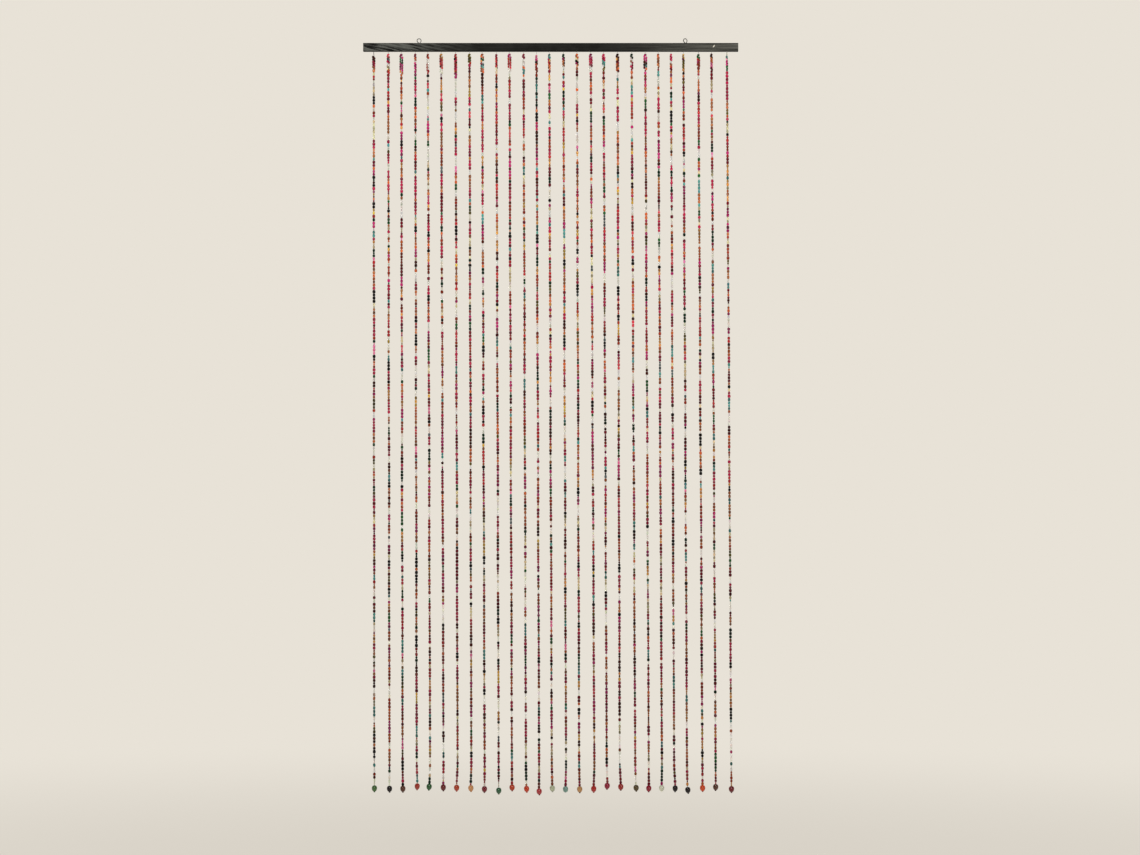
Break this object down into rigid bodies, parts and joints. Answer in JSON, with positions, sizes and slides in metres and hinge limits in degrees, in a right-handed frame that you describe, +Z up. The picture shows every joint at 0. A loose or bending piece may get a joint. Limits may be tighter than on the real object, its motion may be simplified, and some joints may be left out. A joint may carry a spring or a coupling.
{
  "type": "bead curtain with header rail",
  "caption": "Hanging curtain of glass-bead strings on a slim black wooden rail with two screw eyes; each string is looped at the top and ends in a larger drop bead.",
  "frame": {"origin": "midway between the centres of the two screw-eye rings, where the curtain hangs", "axes": "+Z up, along the hanging strings; +X along the rail, to the right seen from the front; the front faces -Y and the rail's back faces +Y"},
  "size_m": [0.9, 0.012, 1.8088],
  "materials": {
    "rail_paint": "black paint, worn thin over brushed grain",
    "eye_steel": "dull zinc-plated wire",
    "mixed_beads": "glossy, small beads in mixed colours",
    "glass_amber": "glossy",
    "glass_black": "glossy",
    "glass_brown": "glossy",
    "glass_clear": "glossy",
    "glass_crimson": "glossy",
    "glass_green": "glossy",
    "glass_orange": "glossy",
    "glass_red": "glossy",
    "glass_teal": "glossy"
  },
  "bodies": {
    "root": {"rail": "rail_paint", "screw_eye_left": "eye_steel", "screw_eye_right": "eye_steel", "strings": "mixed_beads", "end_bead_01": "glass_green", "end_bead_02": "glass_black", "end_bead_03": "glass_brown", "end_bead_04": "glass_red", "end_bead_05": "glass_green", "end_bead_06": "glass_brown", "end_bead_07": "glass_orange", "end_bead_08": "glass_amber", "end_bead_09": "glass_crimson", "end_bead_10": "glass_green", "end_bead_11": "glass_orange", "end_bead_12": "glass_red", "end_bead_13": "glass_crimson", "end_bead_14": "glass_clear", "end_bead_15": "glass_teal", "end_bead_16": "glass_amber", "end_bead_17": "glass_red", "end_bead_18": "glass_crimson", "end_bead_19": "glass_red", "end_bead_20": "glass_brown", "end_bead_21": "glass_crimson", "end_bead_22": "glass_clear", "end_bead_23": "glass_black", "end_bead_24": "glass_black", "end_bead_25": "glass_orange", "end_bead_26": "glass_brown", "end_bead_27": "glass_crimson"}
  },
  "joints": []
}
